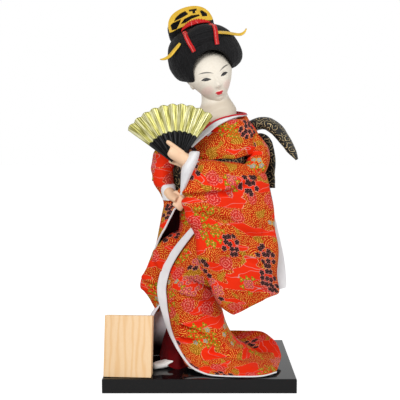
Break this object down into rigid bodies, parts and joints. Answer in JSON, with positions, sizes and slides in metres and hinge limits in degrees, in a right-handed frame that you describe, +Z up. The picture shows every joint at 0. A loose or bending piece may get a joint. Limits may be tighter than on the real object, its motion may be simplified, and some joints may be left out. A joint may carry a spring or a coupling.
{
  "type": "geisha doll",
  "caption": "Standing dressed display doll of a dancer in a red brocade kimono with an open fan, on a black lacquered plinth with a bare wooden plaque.",
  "frame": {"origin": "centre of the plinth's underside", "axes": "+Z up, -Y the way the plinth's long front edge faces, +X towards the doll's left hand side as seen from the front"},
  "size_m": [0.1608, 0.1185, 0.3004],
  "materials": {
    "lacquer_black": "high gloss black lacquer",
    "pale_wood": "bare planed softwood",
    "stuffing": "wound straw and cotton",
    "dowel_wood": "bare dowel",
    "wire_steel": "drawn wire",
    "tabi_white": "plain cotton",
    "brocade_red": "woven brocade with gold thread",
    "lining_white": "satin",
    "lining_red": "satin",
    "obi_brocade": "black brocade with gold thread",
    "face_white": "matte ivory coating",
    "hand_flesh": "matte",
    "hair_black": "combed fibre over a moulded cap",
    "ornament_gold": "gold coloured",
    "ribbon_red": "satin ribbon",
    "fan_gold": "pale gold foil",
    "fan_black": "black lacquer"
  },
  "bodies": {
    "figure_on_plinth": {"base_plinth": "lacquer_black", "name_plaque": "pale_wood", "body_core": "stuffing", "neck_dowel": "dowel_wood", "leg_rod_left": "wire_steel", "leg_rod_right": "wire_steel", "tabi_left": "tabi_white", "tabi_right": "tabi_white", "arm_wire_left": "wire_steel", "arm_wire_right": "wire_steel", "skirt": "brocade_red", "underskirt": "lining_red", "skirt_edging": "lining_white", "under_robe": "lining_white", "obi_band": "obi_brocade", "bodice": "brocade_red", "collar": "lining_white", "collar_edge": "lining_red", "cuff_left": "lining_white", "cuff_right": "lining_white", "sleeve_left": "brocade_red", "sleeve_lining_left": "lining_white", "sleeve_right": "brocade_red", "obi_knot": "obi_brocade", "obi_wing_right": "obi_brocade", "obi_wing_left": "obi_brocade", "obi_tail_right": "obi_brocade", "obi_tail_left": "obi_brocade"},
    "head_with_hair": {"head": "face_white", "hair_main": "hair_black", "hair_back": "hair_black", "hair_front": "hair_black", "hair_bun": "hair_black", "comb": "ornament_gold", "comb_band": "ribbon_red", "ribbon_left": "ribbon_red", "ribbon_right": "ribbon_red", "hairpin_left": "ornament_gold", "hairpin_right": "ornament_gold"},
    "left_hand_with_fan": {"hand_left": "hand_flesh", "fan_leaf": "fan_gold", "fan_sticks": "fan_black", "fan_rivet": "ornament_gold"},
    "right_hand": {"hand_right": "hand_flesh"}
  },
  "joints": [
    {"name": "head_turn", "type": "hinge", "parent": "figure_on_plinth", "child": "head_with_hair", "pos_m": [0.014, 0, 0.2], "axis": [0, 0, 1], "range_deg": [-15, 15]},
    {"name": "left_wrist_turn", "type": "hinge", "parent": "figure_on_plinth", "child": "left_hand_with_fan", "pos_m": [-0.01, -0.045, 0.1788], "axis": [-0.8484, -0.5091, 0.145], "range_deg": [-12, 12]},
    {"name": "right_wrist_turn", "type": "hinge", "parent": "figure_on_plinth", "child": "right_hand", "pos_m": [-0.024, -0.02, 0.1519], "axis": [0.2998, -0.6852, -0.6638], "range_deg": [-15, 8]}
  ]
}
